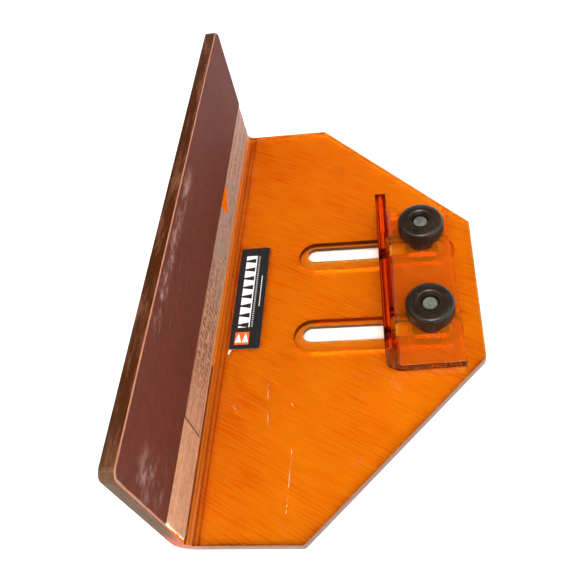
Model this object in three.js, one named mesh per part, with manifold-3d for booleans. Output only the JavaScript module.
// Dovetail jig: a bent acrylic L (base and fence) with an adjustable L-shaped stop.
// Millimetres, +Z up. X runs from the fence to the stop, Y along the fence.
// The jig is drawn with the fence's working face at x = 0, its near end at y = 0
// and its underside at z = 0, then centred on its footprint.

import * as THREE from 'three';
import { mergeVertices } from 'three/addons/utils/BufferGeometryUtils.js';
import Module from 'manifold-3d';

const wasm = await Module();
wasm.setup();

// ---------- driving dimensions ----------

const SHEET = 5.6; // thickness of nominal quarter-inch acrylic
const BASE = { length: 254, width: 133.2, cornerX: 83.2, cornerY: 84.6, rounding: 2.5 };
const FENCE = { height: 86, rounding: 4 };
const BEND = { inner: 3.5, outer: 9.1 };
const SLOT = { pitch: 50.8, start: 48.7, end: 114.5, width: 9, recessWidth: 19, recessDepth: 3.2 };
const GRIT = { thickness: 0.8, bottom: 34.2, inset: 0.3 };
const STRIP = { thickness: 0.3, bottom: 9.6, top: 33.9 };
const TEAR = { start: 168, end: 186, depth: 14 };
const LABEL = { x: 6.3, y: 94.7, width: 16, length: 65.2, thickness: 0.2 };
const STOP = { x: 107.3, turn: 2, length: 96, width: 37.2, rise: 21.8, holeInset: 22.5, gap: 0.3 };
const STOP_BEND = { inner: 2.4, outer: 8 };
const BOLT = { shank: 7.9, root: 6.7, pitch: 1.411, neck: 8, end: 28, head: 18.2, headRise: 2.6 };
const KNOB = { radius: 11.7, top: 29.8, bandTop: 28.4, bandBottom: 21.6, neck: 6.8, flutes: 72 };
const KNOB_HOLE = 8.6;
const INSERT = { radius: 5.5, height: 7.4, hole: 8.5 };
const RUNNING_GAP = 0.3;

const BASE_MID_Y = BASE.length / 2;
const CENTRE_X = (BASE.width - SHEET) / 2;
const STOP_TOP = SHEET + STOP.gap + SHEET;

// ---------- helpers ----------

const part = new THREE.Group();
part.name = 'dovetail_jig';
const jig = new THREE.Group();
jig.position.set(-CENTRE_X, -BASE_MID_Y, 0);
part.add(jig);

function toManifold(geometry) {
  const bare = geometry.clone();
  bare.deleteAttribute('normal');
  bare.deleteAttribute('uv');
  const merged = mergeVertices(bare, 1e-4);
  return new wasm.Manifold(new wasm.Mesh({
    numProp: 3,
    vertProperties: new Float32Array(merged.attributes.position.array),
    triVerts: new Uint32Array(merged.index.array),
  }));
}

function fromManifold(solid) {
  const mesh = solid.getMesh();
  const geometry = new THREE.BufferGeometry();
  geometry.setAttribute('position', new THREE.BufferAttribute(mesh.vertProperties, 3));
  geometry.setIndex(new THREE.BufferAttribute(mesh.triVerts, 1));
  geometry.computeVertexNormals();
  return geometry;
}

function prism(shape, depth, curveSegments = 12) {
  return new THREE.ExtrudeGeometry(shape, { depth, bevelEnabled: false, curveSegments });
}

// A prism whose outline is drawn in X and Z and which runs along +Y from y = start.
function prismAlongY(shape, start, length, curveSegments) {
  return prism(shape, length, curveSegments).rotateX(Math.PI / 2).translate(0, start + length, 0);
}

// A prism whose outline is drawn in Y and Z and which runs along +X from x = start.
function prismAlongX(shape, start, length, curveSegments) {
  return prism(shape, length, curveSegments)
    .rotateX(Math.PI / 2)
    .rotateZ(Math.PI / 2)
    .translate(start, 0, 0);
}

function add(group, name, geometry, material, x = 0, y = 0, z = 0) {
  const mesh = new THREE.Mesh(geometry, material);
  mesh.name = name;
  mesh.position.set(x, y, z);
  group.add(mesh);
  return mesh;
}

function surface(color, roughness, metalness = 0, opacity = 1) {
  return new THREE.MeshStandardMaterial({
    color, roughness, metalness, opacity, transparent: opacity < 1,
  });
}

// A polygon whose listed corners are rounded: each corner is [x, y, radius].
function roundedPolygon(corners) {
  const shape = new THREE.Shape();
  const count = corners.length;
  corners.forEach(([x, y, radius], i) => {
    const corner = new THREE.Vector2(x, y);
    const before = new THREE.Vector2(...corners[(i + count - 1) % count].slice(0, 2));
    const after = new THREE.Vector2(...corners[(i + 1) % count].slice(0, 2));
    const back = before.sub(corner).normalize();
    const ahead = after.sub(corner).normalize();
    const half = Math.acos(back.dot(ahead)) / 2;
    const reach = radius / Math.tan(half);
    const from = corner.clone().addScaledVector(back, reach);
    const centre = back.clone().add(ahead).normalize().multiplyScalar(radius / Math.sin(half)).add(corner);
    const to = corner.clone().addScaledVector(ahead, reach);
    if (i === 0) shape.moveTo(from.x, from.y);
    else shape.lineTo(from.x, from.y);
    if (radius > 0) {
      const a0 = Math.atan2(from.y - centre.y, from.x - centre.x);
      const a1 = Math.atan2(to.y - centre.y, to.x - centre.x);
      const left = back.x * ahead.y - back.y * ahead.x < 0;
      shape.absarc(centre.x, centre.y, radius, a0, a1, !left);
    }
  });
  shape.closePath();
  return shape;
}

// The section of a bent sheet: a foot along +X and an upright along +Z whose outer
// faces meet at (x, z) = (left, bottom).
function bentSection(left, bottom, width, height, bend) {
  return roundedPolygon([
    [left, bottom, bend.outer],
    [left + width, bottom, 0],
    [left + width, bottom + SHEET, 0],
    [left + SHEET, bottom + SHEET, bend.inner],
    [left + SHEET, bottom + height, 0],
    [left, bottom + height, 0],
  ]);
}

// A slot outline with round ends, centred on y, between two end centres.
function stadium(x0, x1, y, width) {
  const shape = new THREE.Shape();
  shape.absarc(x0, y, width / 2, Math.PI / 2, Math.PI * 1.5, false);
  shape.absarc(x1, y, width / 2, -Math.PI / 2, Math.PI / 2, false);
  shape.closePath();
  return shape;
}

// ---------- jig body: base and fence bent from one sheet ----------

const acrylic = surface(0xf07800, 0.08, 0, 0.75);

function jigBody() {
  const section = bentSection(-SHEET, 0, BASE.width + SHEET, FENCE.height, BEND);
  let solid = toManifold(prismAlongY(section, 0, BASE.length, 10));

  const margin = 5;
  const left = -SHEET - margin;
  const cut = BASE.width - BASE.cornerX;
  const plan = roundedPolygon([
    [left, 0, 0],
    [cut, 0, BASE.rounding],
    [BASE.width, BASE.cornerY, BASE.rounding],
    [BASE.width, BASE.length - BASE.cornerY, BASE.rounding],
    [cut, BASE.length, BASE.rounding],
    [left, BASE.length, 0],
  ]);
  solid = solid.intersect(toManifold(prism(plan, FENCE.height + margin, 8)));

  const side = roundedPolygon([
    [0, 0, 0],
    [BASE.length, 0, 0],
    [BASE.length, FENCE.height, FENCE.rounding],
    [0, FENCE.height, FENCE.rounding],
  ]);
  solid = solid.intersect(toManifold(prismAlongX(side, left, BASE.width + 2 * margin + SHEET, 8)));

  for (const sign of [-1, 1]) {
    const y = BASE_MID_Y + sign * SLOT.pitch / 2;
    const slot = prism(stadium(SLOT.start, SLOT.end, y, SLOT.width), SHEET + 2, 24);
    const recess = prism(stadium(SLOT.start, SLOT.end, y, SLOT.recessWidth), SLOT.recessDepth + 1, 32);
    solid = solid
      .subtract(toManifold(slot.translate(0, 0, -1)))
      .subtract(toManifold(recess.translate(0, 0, -1)));
  }
  return fromManifold(solid);
}

add(jig, 'jig_body', jigBody(), acrylic);

// ---------- facings on the fence and the label on the base ----------

// Abrasive sheet on the upper part of the working face, with the fence's rounded corners.
const gritOutline = roundedPolygon([
  [GRIT.inset, GRIT.bottom, 0],
  [BASE.length - GRIT.inset, GRIT.bottom, 0],
  [BASE.length - GRIT.inset, FENCE.height - GRIT.inset, FENCE.rounding],
  [GRIT.inset, FENCE.height - GRIT.inset, FENCE.rounding],
]);
add(jig, 'fence_sandpaper', prismAlongX(gritOutline, 0, GRIT.thickness, 8), surface(0x643228, 0.95));

// Paper strip below it, with a torn notch along its upper edge and a ragged near end.
const stripOutline = new THREE.Shape();
stripOutline.moveTo(1.2, STRIP.bottom);
stripOutline.lineTo(BASE.length - 0.6, STRIP.bottom + 0.4);
stripOutline.lineTo(BASE.length - 0.9, STRIP.top);
stripOutline.lineTo(TEAR.end, STRIP.top);
stripOutline.lineTo(TEAR.end - 1.5, STRIP.top - TEAR.depth * 0.55);
stripOutline.lineTo(TEAR.end - 6, STRIP.top - TEAR.depth * 0.9);
stripOutline.lineTo(TEAR.start + 5, STRIP.top - TEAR.depth * 0.6);
stripOutline.lineTo(TEAR.start, STRIP.top);
stripOutline.lineTo(0.7, STRIP.top);
stripOutline.lineTo(1.6, STRIP.top - 7);
stripOutline.lineTo(0.6, STRIP.top - 14);
stripOutline.closePath();
add(jig, 'fence_paper_strip', prismAlongX(stripOutline, 0, STRIP.thickness, 1), surface(0xdca582, 0.85));

const labelOutline = roundedPolygon([
  [0, 0, 0.8],
  [LABEL.width, 0, 0.8],
  [LABEL.width, LABEL.length, 0.8],
  [0, LABEL.length, 0.8],
]);
add(jig, 'base_label', prism(labelOutline, LABEL.thickness, 4), surface(0x141414, 0.5),
  LABEL.x, LABEL.y, SHEET);

// ---------- stop: a second bent sheet with two bolt holes ----------

const stopGroup = new THREE.Group();
stopGroup.position.set(STOP.x, BASE_MID_Y, SHEET + STOP.gap);
stopGroup.rotation.z = THREE.MathUtils.degToRad(STOP.turn);
jig.add(stopGroup);

function stopPlate() {
  const section = bentSection(-STOP.holeInset, 0, STOP.width, STOP.rise, STOP_BEND);
  let solid = toManifold(prismAlongY(section, -STOP.length / 2, STOP.length, 10));
  for (const sign of [-1, 1]) {
    const hole = new THREE.CylinderGeometry(KNOB_HOLE / 2, KNOB_HOLE / 2, SHEET + 2, 40).rotateX(Math.PI / 2);
    solid = solid.subtract(toManifold(hole.translate(0, sign * SLOT.pitch / 2, SHEET / 2)));
  }
  return fromManifold(solid);
}

add(stopGroup, 'stop', stopPlate(), surface(0xd75a0a, 0.08, 0, 0.75));

// ---------- bolts and knobs ----------

// Carriage bolt: a low domed head in the recess, a square neck in the slot and a threaded shank.
function carriageBolt() {
  const shank = BOLT.shank / 2;
  const root = BOLT.root / 2;
  const headTop = SLOT.recessDepth - RUNNING_GAP;
  const headBottom = headTop - BOLT.headRise;
  const profile = [new THREE.Vector2(0, headBottom)];
  const domeSteps = 6;
  for (let i = 1; i <= domeSteps; i += 1) {
    const a = (i / domeSteps) * Math.PI / 2;
    profile.push(new THREE.Vector2(
      (BOLT.head / 2) * Math.sin(a),
      headTop - 0.8 - (BOLT.headRise - 0.8) * Math.cos(a),
    ));
  }
  profile.push(new THREE.Vector2(BOLT.head / 2, headTop));
  profile.push(new THREE.Vector2(shank, headTop));
  const threadStart = STOP_TOP + 1;
  const threadEnd = BOLT.end - 1.2;
  const turns = Math.floor((threadEnd - threadStart) / BOLT.pitch);
  for (let i = 0; i < turns; i += 1) {
    const z = threadStart + i * BOLT.pitch;
    profile.push(new THREE.Vector2(shank, z));
    profile.push(new THREE.Vector2(root, z + BOLT.pitch * 0.5));
  }
  profile.push(new THREE.Vector2(shank, threadStart + turns * BOLT.pitch));
  profile.push(new THREE.Vector2(root, BOLT.end));
  profile.push(new THREE.Vector2(0, BOLT.end));
  const turned = new THREE.LatheGeometry(profile, 36).rotateX(Math.PI / 2);
  const neckHeight = SHEET - headTop - 0.1;
  const neck = new THREE.BoxGeometry(BOLT.neck, BOLT.neck, neckHeight + 0.5)
    .translate(0, 0, headTop + neckHeight / 2 - 0.25);
  return fromManifold(toManifold(turned).add(toManifold(neck)));
}

// Knob grip: a fluted disc over a tapering neck, bored through for the bolt and
// counterbored from below for the threaded insert.
function knobGrip() {
  const bottom = STOP_TOP + 0.1;
  const { radius, top, bandTop, bandBottom, neck } = KNOB;
  const body = [
    [0, bottom],
    [neck - 0.6, bottom],
    [neck, bottom + 0.6],
    [neck, bandBottom - 4.6],
    [neck + 0.9, bandBottom - 2.6],
    [radius - 1.6, bandBottom - 0.5],
    [radius - 0.4, bandBottom],
    [radius - 0.4, bandTop],
    [radius - 0.9, bandTop + 0.8],
    [radius - 1.9, top],
    [KNOB_HOLE / 2 + 2.2, top],
    [KNOB_HOLE / 2 + 1.6, top - 0.5],
    [0, top - 0.5],
  ].map(([r, z]) => new THREE.Vector2(r, z));
  let solid = toManifold(new THREE.LatheGeometry(body, 72).rotateX(Math.PI / 2));

  const band = new THREE.Shape();
  for (let i = 0; i < KNOB.flutes * 2; i += 1) {
    const a = (i / (KNOB.flutes * 2)) * Math.PI * 2;
    const r = i % 2 ? radius : radius - 0.55;
    if (i === 0) band.moveTo(r, 0);
    else band.lineTo(r * Math.cos(a), r * Math.sin(a));
  }
  band.closePath();
  const bandHeight = bandTop - bandBottom - 0.6;
  solid = solid.add(toManifold(prism(band, bandHeight).translate(0, 0, bandBottom + 0.3)));

  const bore = new THREE.CylinderGeometry(KNOB_HOLE / 2, KNOB_HOLE / 2, 30, 40).rotateX(Math.PI / 2);
  solid = solid.subtract(toManifold(bore.translate(0, 0, 20)));
  const seatHeight = INSERT.height + 2 * RUNNING_GAP;
  const seatRadius = INSERT.radius + RUNNING_GAP;
  const seat = new THREE.CylinderGeometry(seatRadius, seatRadius, seatHeight + 2, 40).rotateX(Math.PI / 2);
  solid = solid.subtract(toManifold(seat.translate(0, 0, bottom + seatHeight / 2 - 1)));
  return fromManifold(solid);
}

// Threaded metal insert: a plain ring with a knurl groove round its middle.
function knobInsert() {
  const { radius, height, hole } = INSERT;
  const profile = [
    [hole / 2, 0.4],
    [hole / 2 + 0.4, 0],
    [radius, 0],
    [radius, height * 0.4],
    [radius - 0.35, height * 0.45],
    [radius - 0.35, height * 0.55],
    [radius, height * 0.6],
    [radius, height],
    [hole / 2, height],
    [hole / 2, 0.4],
  ].map(([r, z]) => new THREE.Vector2(r, z));
  return new THREE.LatheGeometry(profile, 40).rotateX(Math.PI / 2);
}

const turn = THREE.MathUtils.degToRad(STOP.turn);
for (const [side, sign] of [['near', -1], ['far', 1]]) {
  const x = STOP.x - sign * Math.sin(turn) * SLOT.pitch / 2;
  const y = BASE_MID_Y + sign * Math.cos(turn) * SLOT.pitch / 2;
  add(jig, `bolt_${side}`, carriageBolt(), surface(0xa8a89c, 0.35, 1), x, y, 0);
  add(jig, `knob_grip_${side}`, knobGrip(), surface(0x1c1c1c, 0.45), x, y, 0);
  add(jig, `knob_insert_${side}`, knobInsert(), surface(0xb09050, 0.35, 1),
    x, y, STOP_TOP + 0.1 + RUNNING_GAP);
}

export default part;
